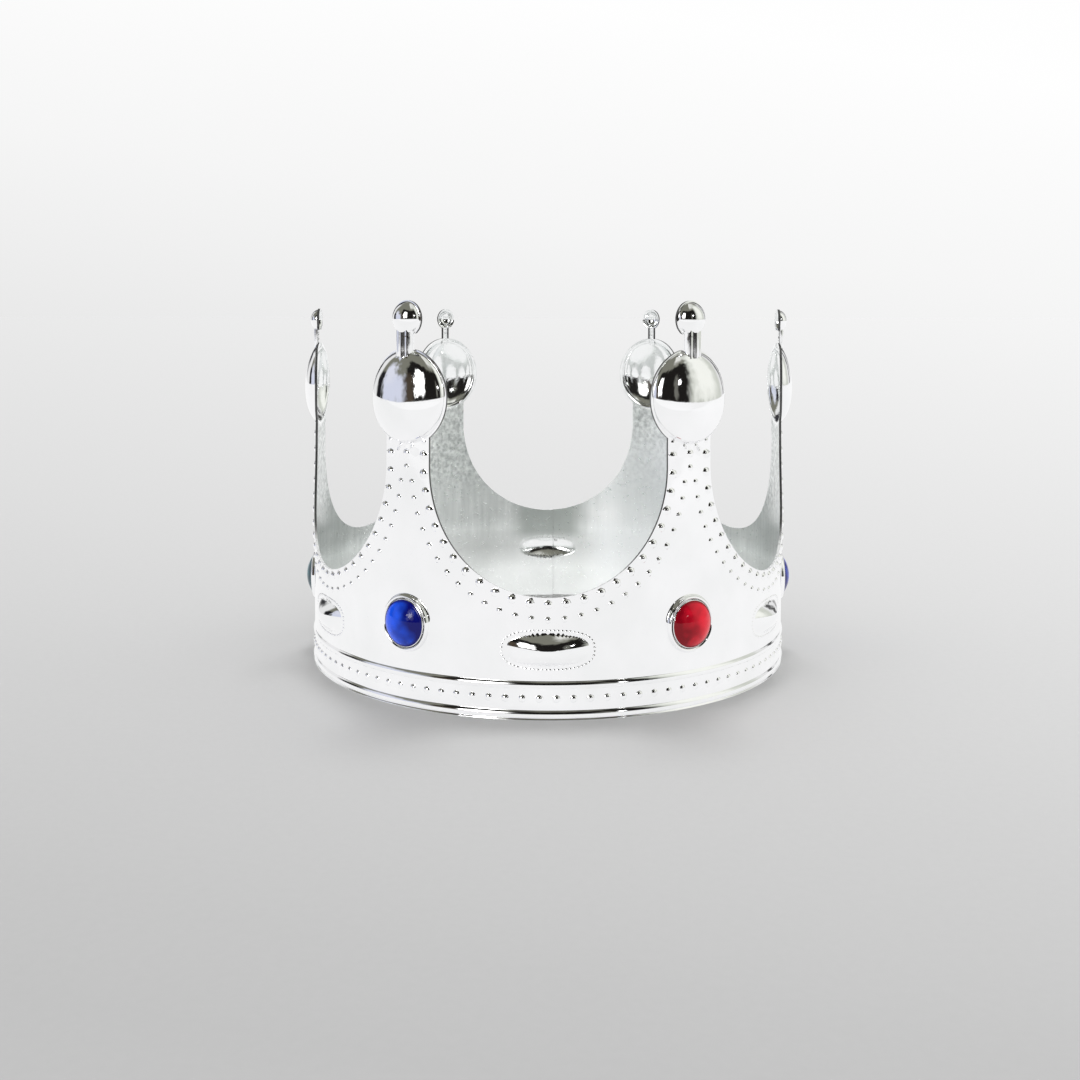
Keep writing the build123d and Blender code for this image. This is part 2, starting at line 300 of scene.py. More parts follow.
# ---- bending the pattern round the oval ---------------------------------------------------
def pattern_point(s, v, fine=1.0):
    """The outer face in 3-D for strip distance s (front centre is 0) and height v."""
    bay = np.floor(s / BAY)
    middle = (bay + 0.5) * BAY
    across = s - middle
    u = np.abs(across)

    # Gem pads lie flat in the plane that touches the wall at their centre.
    from_gem = np.hypot(u, v - GEM_HEIGHT)
    flat = fine * ease((PAD_EDGE - from_gem) / (PAD_EDGE - PAD_CREST[0]))[:, None]
    point, _, out = OVAL.at(s)
    middle_point, middle_along, middle_out = OVAL.at(middle)
    point = point * (1 - flat) + (middle_point + middle_along * across[:, None]) * flat
    out = out * (1 - flat) + middle_out * flat
    out /= np.linalg.norm(out, axis=1, keepdims=True)

    # At the lap the inner end steps in behind the outer end.
    jog = (-OVAL.length / 2 + JOG_START - s) / (JOG_START - JOG_END)
    lean = LEAN * v + NOD * ease((v - NOD_START) / NOD_LENGTH)
    offset = relief_at(u, v, np.isin(bay, FRONT_BAYS), fine) - lean - LAP_STEP * ease(jog)
    point = point + out * offset[:, None]
    return np.stack([point[:, 0], point[:, 1], v], 1)


def pattern_normal(s, v, fine=1.0):
    """Outward normal of the outer face, from small steps along and up the pattern."""
    step = 0.02
    along = pattern_point(s + step, v, fine) - pattern_point(s - step, v, fine)
    up = pattern_point(s, v + step, fine) - pattern_point(s, v - step, fine)
    normal = np.cross(along, up)
    return normal / np.linalg.norm(normal, axis=1, keepdims=True)


# ---- points of half a bay of the flat pattern ----------------------------------------------
def arc(cu, cv, radius, start, end, count):
    """Points along part of a circle."""
    return [(cu + radius * math.cos(t), cv + radius * math.sin(t)) for t in np.linspace(start, end, count)]


def ring_points(cu, cv, radii, count):
    """Points on rings round a feature."""
    turns = [2 * math.pi * i / count for i in range(count)]
    return [(cu + radius * math.cos(t), cv + radius * math.sin(t)) for radius in radii for t in turns]


def capsule_points():
    """Points on boxy rings round the capsule, and along its spine."""
    height, length, width, _ = CAPSULE
    points = []
    for share in [math.sin(math.radians(a)) for a in CAPSULE_ANGLES] + CAPSULE_FOOT:
        for i in range(64):
            du, dv = squircle(2 * math.pi * i / 64, share * length, share * width)
            points.append((HALF_BAY + float(du), height + float(dv)))
    return points + [(HALF_BAY - x, height) for x in np.linspace(0, 0.17 * length, 4)]


def dome_points(centre, radius, step, count, foot_count):
    """Points on rings up a dome, closer together at its steep foot."""
    shares = [math.sin(math.radians(a)) for a in range(step, 60, step)]
    points = [(0.0, centre)] + ring_points(0.0, centre, [radius * share for share in shares], count)
    return points + ring_points(0.0, centre, [radius * share for share in DOME_FOOT], foot_count)


def feature_points(finial):
    """Mesh points that follow the relief, and the zones in which no filler is wanted."""
    points, zones = [], []
    for places, (shares, count), clear in ((STUDS, STUD_RINGS, 0.7), (ROPE_STUDS, ROPE_RINGS, 0.5)):
        for cu, cv, radius, _ in places:
            points += [(cu, cv)] + ring_points(cu, cv, [share * radius for share in shares], count)
            zones.append((cu, cv, radius + clear))
    points += capsule_points()
    points.append((0.0, GEM_HEIGHT))
    points += ring_points(0.0, GEM_HEIGHT, *SEAT_RINGS)
    points += ring_points(0.0, GEM_HEIGHT, *PAD_RINGS)
    points += dome_points(DISC_HEIGHT, DOME_RADIUS, 8, 56, 96)
    points += dome_points(finial.ball_height, finial.ball_dome, 12, 36, 48)
    zones.append((0.0, GEM_HEIGHT, PAD_ZONE))
    zones.append((0.0, DISC_HEIGHT, DISC_RADIUS))
    zones.append((0.0, finial.ball_height, finial.ball_radius))
    return points, zones


def stem_head(finial):
    """Height up to which the stem has its own rows of points."""
    return finial.ball_height - 0.7 * finial.ball_dome


def stem_zone(u, v, finial):
    """True where the stem's own rows of points are used."""
    return u < finial.stem_half + 0.1 and DISC_HEIGHT + 0.84 * DOME_RADIUS < v < stem_head(finial)


def stem_points(finial):
    """Rows of points up the stem, closer together where it grows out of the dome."""
    foot, above_dome = DISC_HEIGHT + 0.85 * DOME_RADIUS, DISC_HEIGHT + 1.03 * DOME_RADIUS
    rows = [*np.arange(foot, above_dome, 0.2), *np.arange(above_dome, stem_head(finial), 0.4)]
    half = finial.stem_half
    return [(u, v) for u in [*np.linspace(0.0, half - 0.3, 8), half - 0.13, half + 0.02] for v in rows]


def inside_outline(u, v, margin, finial):
    """True where the point is on the sheet and this far from its edge."""
    if v < margin:
        return False
    from_ball = math.hypot(u, v - finial.ball_height)
    if v > finial.ball_height - finial.ball_radius + 1 or from_ball < finial.ball_radius:
        return from_ball < finial.ball_radius - margin
    in_disc = math.hypot(u, v - DISC_HEIGHT) < DISC_RADIUS - margin
    in_neck = u < HALF_BAY - ARCH_RADIUS - margin
    if v > ARCH_CENTRE + 6:
        in_stem = u < finial.stem_half - margin and v > DISC_HEIGHT
        return in_disc or in_stem or (in_neck and v < DISC_HEIGHT)
    if v > ARCH_CENTRE:
        return in_neck
    return math.hypot(HALF_BAY - u, v - ARCH_CENTRE) > ARCH_RADIUS + margin


def near_capsule(u, v):
    """True over the capsule and its rope border."""
    height, length, width, _ = CAPSULE
    clear = 2.2
    return (abs((HALF_BAY - u) / (length + clear)) ** SQUARENESS
            + abs((v - height) / (width + clear)) ** SQUARENESS) < 1


def filler_points(rows, zones, finial):
    """Staggered points over the plain wall, clear of the ribs and of every feature."""
    points = []
    for row, v in enumerate(np.arange(SPACING, DISC_HEIGHT, SPACING * 0.87)):
        if min(abs(v - r) for r in rows) < FILLER_MARGIN:
            continue
        for u in np.arange(SPACING / 4 * (1 + 2 * (row % 2)), HALF_BAY, SPACING):
            clear = all(math.hypot(u - cu, v - cv) >= reach for cu, cv, reach in zones)
            if clear and not near_capsule(u, v) and inside_outline(u, v, FILLER_MARGIN, finial):
                points.append((u, v))
    return points


def spaced(values, least):
    """Sorted values with any that crowd the one before left out."""
    kept = []
    for value in sorted(values):
        if not kept or value - kept[-1] > least:
            kept.append(value)
    return kept


def thinned(points, least):
    """Points with any that crowd an earlier one left out."""
    cells, kept = {}, []
    for u, v in points:
        i, j = int(u / least), int(v / least)
        around = [q for di in (-1, 0, 1) for dj in (-1, 0, 1) for q in cells.get((i + di, j + dj), ())]
        if all((u - a) ** 2 + (v - b) ** 2 > least * least for a, b in around):
            cells.setdefault((i, j), []).append((u, v))
            kept.append((u, v))
    return kept


def outline_points(points, columns, finial):
    """The outline in order: bottom, far side, arch, neck, disc, stem, ball and down the middle."""
    ball, ball_top = finial.ball_radius, finial.ball_height + finial.ball_radius
    arch_foot, neck = ARCH_CENTRE - ARCH_RADIUS, HALF_BAY - ARCH_RADIUS
    far_side = [v for u, v in points if abs(u - HALF_BAY) < ON_LINE and 0.1 < v < arch_foot - 0.1]
    far_side += list(np.arange(14, arch_foot - 1, 1.7))
    middle = [v for u, v in points if abs(u) < ON_LINE and 0.1 < v < ball_top - 0.1]
    middle += list(np.arange(13.5, DISC_HEIGHT - DISC_RADIUS, 2.2))

    disc_start = math.acos(neck / DISC_RADIUS)
    disc_end = math.acos(finial.stem_half / DISC_RADIUS)
    ball_start = math.acos(finial.stem_half / ball)
    neck_top = DISC_HEIGHT - DISC_RADIUS * math.sin(disc_start)
    stem_foot = DISC_HEIGHT + DISC_RADIUS * math.sin(disc_end)
    stem_top = finial.ball_height - ball * math.sin(ball_start)

    outline = [(u, 0.0) for u in columns]
    outline += [(HALF_BAY, v) for v in spaced(far_side, CLOSEST_ON_EDGE)]
    outline += arc(HALF_BAY, ARCH_CENTRE, ARCH_RADIUS, -math.pi / 2, -math.pi, 52)
    outline += [(neck, v) for v in np.linspace(ARCH_CENTRE, neck_top, 8)[1:-1]]
    outline += arc(0.0, DISC_HEIGHT, DISC_RADIUS, -disc_start, disc_end, 40)
    outline += [(finial.stem_half, v) for v in np.linspace(stem_foot, stem_top, 12)[1:-1]]
    outline += arc(0.0, finial.ball_height, ball, -ball_start, math.pi / 2, 24)[:-1]
    outline.append((0.0, ball_top))
    return outline + [(0.0, v) for v in reversed(spaced(middle, CLOSEST_ON_EDGE))]


def flat_half_bay(finial):
    """Half a bay of the flat pattern, triangulated: its points and its faces."""
    rib_rows = [0.2, 0.4] + [centre + half * share for centre, half, _ in RIBS for share in RIB_SHARES]
    columns = np.linspace(0, HALF_BAY, 24)
    points, zones = feature_points(finial)
    points = [p for p in points if not stem_zone(*p, finial)]
    points += [(u, v) for v in rib_rows for u in columns]
    points += stem_points(finial)
    points += filler_points(rib_rows, zones, finial)

    outline = outline_points(points, columns, finial)
    inner = [(u, v) for u, v in points
             if ON_LINE < u < HALF_BAY - ON_LINE and inside_outline(u, v, EDGE_MARGIN, finial)]
    coords = [Vector(p) for p in outline + thinned(inner, CLOSEST)]
    found = delaunay_2d_cdt(coords, [], [list(range(len(outline)))], 1, 1e-7)
    return [tuple(p) for p in found[0]], [tuple(f) for f in found[2]]


# ---- the formed band ----------------------------------------------------------------------
def flat_strip():
    """The whole flat strip as a bmesh in the XY plane: x is s and y is v."""
    front, rear = flat_half_bay(FRONT_FINIAL), flat_half_bay(REAR_FINIAL)
    strip = bmesh.new()
    corners = {}

    def corner(s, v):
        key = (round(s * 1e4), round(v * 1e4))
        if key not in corners:
            corners[key] = strip.verts.new((s, v, 0))
        return corners[key]

    for bay in range(-BAYS // 2 - 1, BAYS // 2 + 1):
        middle = (bay + 0.5) * BAY
        half, faces = front if bay in FRONT_BAYS else rear
        for side in (1, -1):
            placed = [corner(middle + side * u, v) for u, v in half]
            for face in faces:
                loop = [placed[i] for i in face]
                strip.faces.new(loop if side == 1 else loop[::-1])
    for where, way in ((-OVAL.length / 2 - INNER_END, -1), (OVAL.length / 2 + OUTER_END, 1)):
        geometry = strip.verts[:] + strip.edges[:] + strip.faces[:]
        bmesh.ops.bisect_plane(strip, geom=geometry, dist=ON_LINE, plane_co=(where, 0, 0),
                               plane_no=(way, 0, 0), clear_outer=True)
    bmesh.ops.triangulate(strip, faces=[f for f in strip.faces if len(f.verts) > 3])
    strip.verts.index_update()
    return strip


def rim_edges(strip):
    """The strip's outer edges, each as the two points it runs between."""
    loops = [edge.link_loops[0] for edge in strip.edges if len(edge.link_faces) == 1]
    return [(loop.vert.index, loop.link_loop_next.vert.index) for loop in loops]


def drawn_deep(s, v):
    """1 where the sheet is stretched into a dome or a capsule, 0 on the plain wall."""
    u = np.abs(s - (np.floor(s / BAY) + 0.5) * BAY)
    boss = ((HALF_BAY - u) / CAPSULE[1]) ** 2 + ((v - CAPSULE[0]) / CAPSULE[2]) ** 2
    dome = np.hypot(u, v - DISC_HEIGHT) / DISC_RADIUS
    deep = np.maximum(ease((1.0 - boss) / 0.4), ease((1.05 - dome) / 0.1))
    return np.maximum(deep, ease((v - DISC_HEIGHT - 4) / 4))


def cut_edge_normals(rim, outer, inner):
    """Corner normals for the faces of the cut edge: smooth along it, but sharp at its corners."""
    own = []
    around = {}
    for a, b in rim:
        normal = np.cross(outer[a] - outer[b], inner[a] - outer[a])
        normal /= np.linalg.norm(normal)
        own.append(normal)
        around.setdefault(a, []).append(normal)
        around.setdefault(b, []).append(normal)
    corners = []
    for (a, b), normal in zip(rim, own):
        at_a, at_b = [np.sum([n for n in around[i] if n @ normal > 0.8], axis=0) for i in (a, b)]
        at_a, at_b = tuple(at_a / np.linalg.norm(at_a)), tuple(at_b / np.linalg.norm(at_b))
        corners += [at_b, at_a, at_a, at_b]
    return corners


def band_mesh():
    """The formed sheet: outer face, inner face and the cut edge between them."""
    strip = flat_strip()
    flat = np.array([v.co for v in strip.verts], float)
    triangles = [tuple(v.index for v in f.verts) for f in strip.faces]
    rim = rim_edges(strip)
    strip.free()

    s, v = flat[:, 0], flat[:, 1]
    outer, outer_normal = pattern_point(s, v), pattern_normal(s, v)
    inner_normal = pattern_normal(s, v, INSIDE_SHARE)
    inner = pattern_point(s, v, INSIDE_SHARE) - inner_normal * SHEET
    inner[:, 2] = np.clip(inner[:, 2], 0.0, TOP)
    count = len(outer)
    faces = triangles + [tuple(count + i for i in reversed(t)) for t in triangles]
    faces += [(b, a, count + a, count + b) for a, b in rim]
    mesh = bpy.data.meshes.new("crown_band_sheet")
    mesh.from_pydata((np.vstack([outer, inner]) * MM).tolist(), [], faces)

    # Smooth normals straight from the relief, and normals for the cut edge from its own faces.
    normals = [tuple(outer_normal[i]) for t in triangles for i in t]
    normals += [tuple(-inner_normal[i]) for t in triangles for i in reversed(t)]
    normals += cut_edge_normals(rim, outer, inner)
    mesh.polygons.foreach_set("use_smooth", [True] * len(faces))
    slots = [0] * len(triangles) + [1] * len(triangles) + [2] * len(rim)
    mesh.polygons.foreach_set("material_index", slots)
    mesh.normals_split_custom_set(normals)

    # The flat pattern, in metres, for materials that follow the sheet; and where it is drawn deep.
    where = np.vstack([flat[:, :2], flat[:, :2]]) * MM
    corners = np.zeros(len(mesh.loops), int)
    mesh.loops.foreach_get("vertex_index", corners)
    mesh.uv_layers.new(name="pattern").data.foreach_set("uv", where[corners].ravel())
    set_attribute(mesh, "drawn", np.tile(drawn_deep(s, v), 2))
    mesh.update()
    return mesh


def set_attribute(mesh, name, values):
    """Stores a number at each of the mesh's points for its material."""
    mesh.attributes.new(name, "FLOAT", "POINT").data.foreach_set("value", values)


# ---- gems ---------------------------------------------------------------------------------
GEM_SEAT = 0.95
GEM_FLANGE = [(7.6, 0.08), (7.6, 0.18), (7.55, 0.26), (7.42, 0.28)]
GEM_GIRDLE = [(7.38, 0.3), (7.38, 0.42), (7.32, 0.52)]
GEM_CROWN = (7.25, 2.6)
GEM_BASE = 7.5
GEM_STEPS = 16
GEM_ROUND = 96
# Each gem's hue as a light and a deep copy: painted foil light and painted shade.
BLUE = ((0.01, 0.09, 0.82), (0.004, 0.005, 0.13))
RED = ((0.72, 0.01, 0.03), (0.2, 0.002, 0.008))
GREEN = ((0.01, 0.4, 0.08), (0.004, 0.1, 0.02))
TEAL = ((0.01, 0.16, 0.2), (0.004, 0.04, 0.06))
# Round the crown from the front centre towards the right: node, light and deep colour; the light colour is
# painted foil light and the deep colour painted shade.
GEMS = [("gem_front_right", RED), ("gem_right", BLUE), ("gem_back_right", GREEN),
        ("gem_back_left", RED), ("gem_left", TEAL), ("gem_front_left", BLUE)]


def gem_profile():
    """Radius and height down the gem, and how many of these, from the top, are acrylic."""
    radius, rise = GEM_CROWN
    sphere = (radius ** 2 + rise ** 2) / (2 * rise)
    edge = GEM_GIRDLE[-1][1]
    steps = [i / GEM_STEPS * radius for i in range(1, GEM_STEPS + 1)]
    dome = [(r, edge + rise - sphere + math.sqrt(sphere ** 2 - r ** 2)) for r in steps]
    acrylic = dome + GEM_GIRDLE[::-1]
    return acrylic + GEM_FLANGE[::-1] + [(GEM_BASE, 0.0)], len(acrylic)


def gem_mesh(name, painted_bright_side):
    """A low dome on a thin foiled flange, closed below by its foil."""
    form = bmesh.new()
    top = form.verts.new((0, 0, (GEM_CROWN[1] + GEM_GIRDLE[-1][1]) * MM))
    profile, acrylic = gem_profile()
    turns = [2 * math.pi * i / GEM_ROUND for i in range(GEM_ROUND)]
    rings = [[form.verts.new((radius * math.cos(t) * MM, radius * math.sin(t) * MM, level * MM))
              for t in turns] for radius, level in profile]
    middle = form.verts.new((0, 0, 0))
    for i in range(GEM_ROUND):
        j = (i + 1) % GEM_ROUND
        form.faces.new((top, rings[0][i], rings[0][j])).smooth = True
        for step, (above, below) in enumerate(zip(rings, rings[1:]), 1):
            face = form.faces.new((above[i], below[i], below[j], above[j]))
            face.smooth = True
            face.material_index = int(step >= acrylic)
        form.faces.new((middle, rings[-1][j], rings[-1][i])).material_index = 1
    mesh = bpy.data.meshes.new(name)
    form.to_mesh(mesh)
    form.free()
    crown = GEM_CROWN[0] * MM
    # Which side of the gem is painted bright, and how far out towards its painted dark rim.
    set_attribute(mesh, "across", [painted_bright_side * v.co.x / crown for v in mesh.vertices])
    set_attribute(mesh, "out_from_middle", [math.hypot(v.co.x, v.co.y) / crown for v in mesh.vertices])
    return mesh


def gem_place(bay):
    """The turn and shift that put a gem's foil side on its seat, with its dome facing out."""
    point, along, out = [Vector((*pair[0], 0)) for pair in OVAL.at(np.array([(bay + 0.5) * BAY]))]
    lean = math.atan(LEAN)
    z = out * math.cos(lean) + Vector((0, 0, math.sin(lean)))
    seat = point - out * LEAN * GEM_HEIGHT + Vector((0, 0, GEM_HEIGHT)) + z * GEM_SEAT
    turn = Matrix((along, z.cross(along), z)).transposed()
    return Matrix.Translation(seat * MM) @ turn.to_4x4()


# ---- material helpers ---------------------------------------------------------------------
def new_material(name, **settings):
    """A material whose Principled shader has these settings."""
    material = bpy.data.materials.new(name)
    material.use_nodes = True
    shader = material.node_tree.nodes["Principled BSDF"]
    for key, value in settings.items():
        shader.inputs[key.replace("_", " ")].default_value = value
    return material, material.node_tree, shader


def feed(tree, socket, value):
    """Gives an input a number or a colour, or links another node's output to it."""
    if isinstance(value, bpy.types.NodeSocket):
        tree.links.new(value, socket)
    elif isinstance(value, tuple):
        socket.default_value = (*value, 1)
    else:
        socket.default_value = value


def coordinates(tree, kind="Object", stretch=(1, 1, 1)):
    """Texture coordinates, stretched."""
    mapping = tree.nodes.new("ShaderNodeMapping")
    mapping.inputs["Scale"].default_value = stretch
    tree.links.new(tree.nodes.new("ShaderNodeTexCoord").outputs[kind], mapping.inputs["Vector"])
    return mapping.outputs["Vector"]


def parts_of(tree, vector):
    """The three parts of a vector."""
    node = tree.nodes.new("ShaderNodeSeparateXYZ")
    tree.links.new(vector, node.inputs[0])
    return node.outputs


def attribute(tree, name):
    """A number stored at the mesh's points."""
    node = tree.nodes.new("ShaderNodeAttribute")
    node.attribute_name = name
    return node.outputs["Fac"]


def noise(tree, where, scale, detail=3.0):
    """A noise pattern's value."""
    node = tree.nodes.new("ShaderNodeTexNoise")
    node.inputs["Scale"].default_value = scale
    node.inputs["Detail"].default_value = detail
    tree.links.new(where, node.inputs["Vector"])
    return node.outputs["Fac"]


def remapped(tree, value, from_range, to_range, kind="LINEAR"):
    """The value moved from one range to another, and held at the ends."""
    node = tree.nodes.new("ShaderNodeMapRange")
    node.interpolation_type = kind
    for label, number in zip(("From Min", "From Max", "To Min", "To Max"), (*from_range, *to_range)):
        node.inputs[label].default_value = number
    tree.links.new(value, node.inputs["Value"])
    return node.outputs["Result"]


def spread(tree, value, low, high):
    """A noise value, which keeps to the middle of its range, spread from low to high."""
    return remapped(tree, value, (0.3, 0.7), (low, high))


def math_node(tree, operation, first, second=0.0):
    """The result of a sum on sockets or numbers."""
    node = tree.nodes.new("ShaderNodeMath")
    node.operation = operation
    feed(tree, node.inputs[0], first)
    feed(tree, node.inputs[1], second)
    return node.outputs[0]


def times(tree, first, second):
    """The product of two numbers."""
    return math_node(tree, "MULTIPLY", first, second)


def band_of(tree, value, low, high, soft):
    """1 where the value lies between low and high, with soft sides."""
    rise = remapped(tree, value, (low - soft, low + soft), (0, 1), "SMOOTHSTEP")
    fall = remapped(tree, value, (high - soft, high + soft), (1, 0), "SMOOTHSTEP")
    return times(tree, rise, fall)


def mixed(tree, share, first, second, blend_type="MIX"):
    """The first colour with the second laid over it, by a share from 0 to 1."""
    node = tree.nodes.new("ShaderNodeMix")
    node.data_type = "RGBA"
    node.blend_type = blend_type
    feed(tree, node.inputs[0], share)
    feed(tree, node.inputs[6], first)
    feed(tree, node.inputs[7], second)
    return node.outputs[2]


def multiplied(tree, first, second):
    """The product of two colours."""
    return mixed(tree, 1.0, first, second, "MULTIPLY")


def blend_colours(tree, value, first, second):
    """A colour between the two, chosen by a noise value."""
    return mixed(tree, spread(tree, value, 0.0, 1.0), first, second)


def ramp_of(tree, value, stops):
    """A colour from a ramp of (position, colour) stops."""
    ramp = tree.nodes.new("ShaderNodeValToRGB")
    tree.links.new(value, ramp.inputs["Fac"])
    elements = ramp.color_ramp.elements
    while len(elements) < len(stops):
        elements.new(0.5)
    for element, (position, colour) in zip(elements, stops):
        element.position = position
        element.color = (*colour, 1)
    return ramp.outputs["Color"]


def ripple(tree, shader, value, depth):
    """Bends the surface's shine by the value, as if it were this deep."""
    node = tree.nodes.new("ShaderNodeBump")
    node.inputs["Distance"].default_value = depth
    tree.links.new(value, node.inputs["Height"])
    tree.links.new(node.outputs["Normal"], shader.inputs["Normal"])


# ---- materials ----------------------------------------------------------------------------
def chrome():
    """Vacuum-metallised plastic: a mirror, very slightly uneven."""
    material, tree, shader = new_material("chrome", Metallic=1.0)
    where = coordinates(tree)
    patches = noise(tree, where, 60)
    feed(tree, shader.inputs["Base Color"],
         blend_colours(tree, patches, (0.95, 0.95, 0.96), (0.9, 0.905, 0.91)))
    feed(tree, shader.inputs["Roughness"], spread(tree, noise(tree, where, 220), 0.03, 0.07))
    ripple(tree, shader, noise(tree, where, 110, 2.0), 0.04 * MM)
    return material


# Painted reflection on the inside of the sheet up the wall: light low down where it mirrors the floor,
# darker above where it mirrors the far side of the crown. Height in millimetres and how light it is.
INSIDE_REFLECTION_TONES = [(0, 0.97), (12, 0.95), (17, 0.8), (22, 0.68), (27, 0.74), (30, 0.84), (35, 0.7),
                (48, 0.78), (64, 0.84), (100, 0.82)]
TONES_TOP = 100


def painted_inside_reflection(tree, height):
    """The painted reflection tone of the inside at a height up the wall, in metres."""
    stops = [(where / TONES_TOP, (level * 0.99, level * 1.01, level)) for where, level in INSIDE_REFLECTION_TONES]
    return ramp_of(tree, times(tree, height, 1 / (TONES_TOP * MM)), stops)


def patch(tree, along, along_range, along_soft, height, height_range, height_soft):
    """1 where both measures lie in their ranges and 0 elsewhere, with soft sides."""
    return times(tree, band_of(tree, along, *along_range, along_soft),
                 band_of(tree, height, *height_range, height_soft))


def inside_colour(tree, drawn):
    """A painted reflection tone up the wall, streaky low down, mottled up the arms, with patches of painted
    reflection, shade and highlight, brighter where drawn deep.
    """
    along, height, _ = parts_of(tree, coordinates(tree, "UV"))
    from_lap = math_node(tree, "SUBTRACT", OVAL.length / 2 * MM, math_node(tree, "ABSOLUTE", along))
    streaks = noise(tree, coordinates(tree, "UV", (1, 0.1, 1)), 420, 4.0)
    mottle = noise(tree, coordinates(tree), 620, 2.0)
    clouds = noise(tree, coordinates(tree), 28, 2.0)
    streaky = blend_colours(tree, streaks, (1.08, 1.08, 1.08), (0.82, 0.83, 0.83))
    mottled = blend_colours(tree, mottle, (1.18, 1.18, 1.18), (0.62, 0.63, 0.63))
    cloudy = blend_colours(tree, clouds, (1.1, 1.1, 1.1), (0.86, 0.87, 0.86))
    # Start from the painted reflection tone up the wall.
    colour = multiplied(tree, painted_inside_reflection(tree, height), cloudy)
    streaked = times(tree, band_of(tree, height, 0.027, 0.05, 0.006), 0.8)
    colour = mixed(tree, streaked, colour, multiplied(tree, colour, streaky))
    colour = mixed(tree, band_of(tree, height, 0.05, 1.0, 0.008), colour, multiplied(tree, colour, mottled))

    # Painted reflection lighter and bluer to one side, painted shade darker over the capsule by the lap,
    # and a bright painted lamp highlight broken up by the streaks.
    # Painted reflection, lighter and bluer.
    lighter = patch(tree, along, (0.205, 0.262), 0.008, height, (0.01, 0.07), 0.01)
    colour = mixed(tree, times(tree, lighter, 0.7), colour, (0.97, 0.99, 1.0))
    # Painted shade over the capsule by the lap.
    painted_lap_shade = patch(tree, from_lap, (-1, 0.014), 0.005, height, (0.026, 0.06), 0.003)
    colour = mixed(tree, times(tree, painted_lap_shade, 0.9), colour, (0.4, 0.43, 0.41))
    # Painted lamp highlight, streaked.
    painted_lamp_highlight = patch(tree, along, (0.251, 0.262), 0.007, height, (0.033, 0.04), 0.006)
    colour = mixed(tree, times(tree, painted_lamp_highlight, spread(tree, streaks, 1.0, 0.7)), colour, (1.0, 1.0, 1.0))
    return mixed(tree, drawn, colour, (0.92, 0.93, 0.93))


def satin():
    """The duller inside of the sheet, smoother where it is drawn deep."""
    material, tree, shader = new_material("satin_inside", Metallic=1.0)
    drawn = attribute(tree, "drawn")
    feed(tree, shader.inputs["Base Color"], inside_colour(tree, drawn))
    grain = noise(tree, coordinates(tree), 700, 4.0)
    rough = tree.nodes.new("ShaderNodeMix")
    feed(tree, rough.inputs[0], drawn)
    feed(tree, rough.inputs[2], spread(tree, grain, 0.26, 0.36))
    feed(tree, rough.inputs[3], 0.1)
    feed(tree, shader.inputs["Roughness"], rough.outputs[0])
    ripple(tree, shader, grain, 0.05 * MM)
    return material


def cut_edge():
    """The trimmed edge of the sheet: bare dark plastic, with a painted highlight where it faces up along
    the foot of each arch.
    """
    material, tree, shader = new_material("cut_edge", Metallic=0.3)
    grain = noise(tree, coordinates(tree), 700)
    bare = blend_colours(tree, grain, (0.1, 0.1, 0.1), (0.05, 0.05, 0.05))
    facing_up = parts_of(tree, coordinates(tree, "Normal"))["Z"]
    height = parts_of(tree, coordinates(tree, "UV"))["Y"]
    # Painted highlight where the edge faces up along the foot of each arch.
    painted_upward_highlight = patch(tree, facing_up, (0.7, 2.0), 0.2, height, (0.02, 0.046), 0.004)
    feed(tree, shader.inputs["Base Color"], mixed(tree, painted_upward_highlight, bare, (0.85, 0.86, 0.86)))
    feed(tree, shader.inputs["Roughness"], spread(tree, grain, 0.2, 0.35))
    return material


def gem_material(name, light, deep):
    """Coloured acrylic with painted light: a painted glow for the foil behind it, painted brighter towards
    one side, with painted shade at its rim.
    """
    # The emission is a painted glow, not a lamp.
    material, tree, shader = new_material(name, Roughness=0.03, Specular_IOR_Level=0.2,
                                          Emission_Strength=0.25)
    clouds = noise(tree, coordinates(tree), 230, 1.0)
    side = math_node(tree, "ADD", times(tree, attribute(tree, "across"), -0.32), times(tree, clouds, 0.6))
    painted_foil_glow = blend_colours(tree, math_node(tree, "ADD", side, 0.16), light, deep)
    # Painted shade darkens the rim.
    rim = band_of(tree, attribute(tree, "out_from_middle"), 0.93, 3.0, 0.07)
    colour = mixed(tree, rim, painted_foil_glow, deep)
    feed(tree, shader.inputs["Base Color"], colour)
    feed(tree, shader.inputs["Emission Color"], colour)
    return material


def foil_material():
    """The mirror foil on the back of a gem."""
    material, tree, shader = new_material("foil", Metallic=1.0, Roughness=0.12)
    grain = noise(tree, coordinates(tree), 500)
    feed(tree, shader.inputs["Base Color"], blend_colours(tree, grain, (0.9, 0.9, 0.9), (0.72, 0.72, 0.72)))
    ripple(tree, shader, grain, 0.02 * MM)
    return material


def glue_material():
    """Dried clear glue, milky."""
    material, tree, shader = new_material("glue", Roughness=0.35)
    clouds = noise(tree, coordinates(tree), 300)
    feed(tree, shader.inputs["Base Color"],
         blend_colours(tree, clouds, (0.78, 0.76, 0.68), (0.62, 0.6, 0.52)))
    return material


# ---- putting the pieces in the frame -------------------------------------------------------
def place(mesh, name, materials, node):
    """Shows a mesh in place of a CAD node."""
    piece = bpy.data.objects.new(name, mesh)
    bpy.context.scene.collection.objects.link(piece)
    for material in materials:
        mesh.materials.append(material)
    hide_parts(node)
    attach(piece, "root")


def place_gems():
    """All six gems; each is painted brighter on the side that faces the front centre of the crown."""
    foil = foil_material()
    for bay, (name, colours) in enumerate(GEMS):
        mesh = gem_mesh(name, 1 if bay < BAYS / 2 else -1)
        mesh.transform(gem_place(bay))
        place(mesh, name + "_cut", [gem_material(name + "_acrylic", *colours), foil], name)


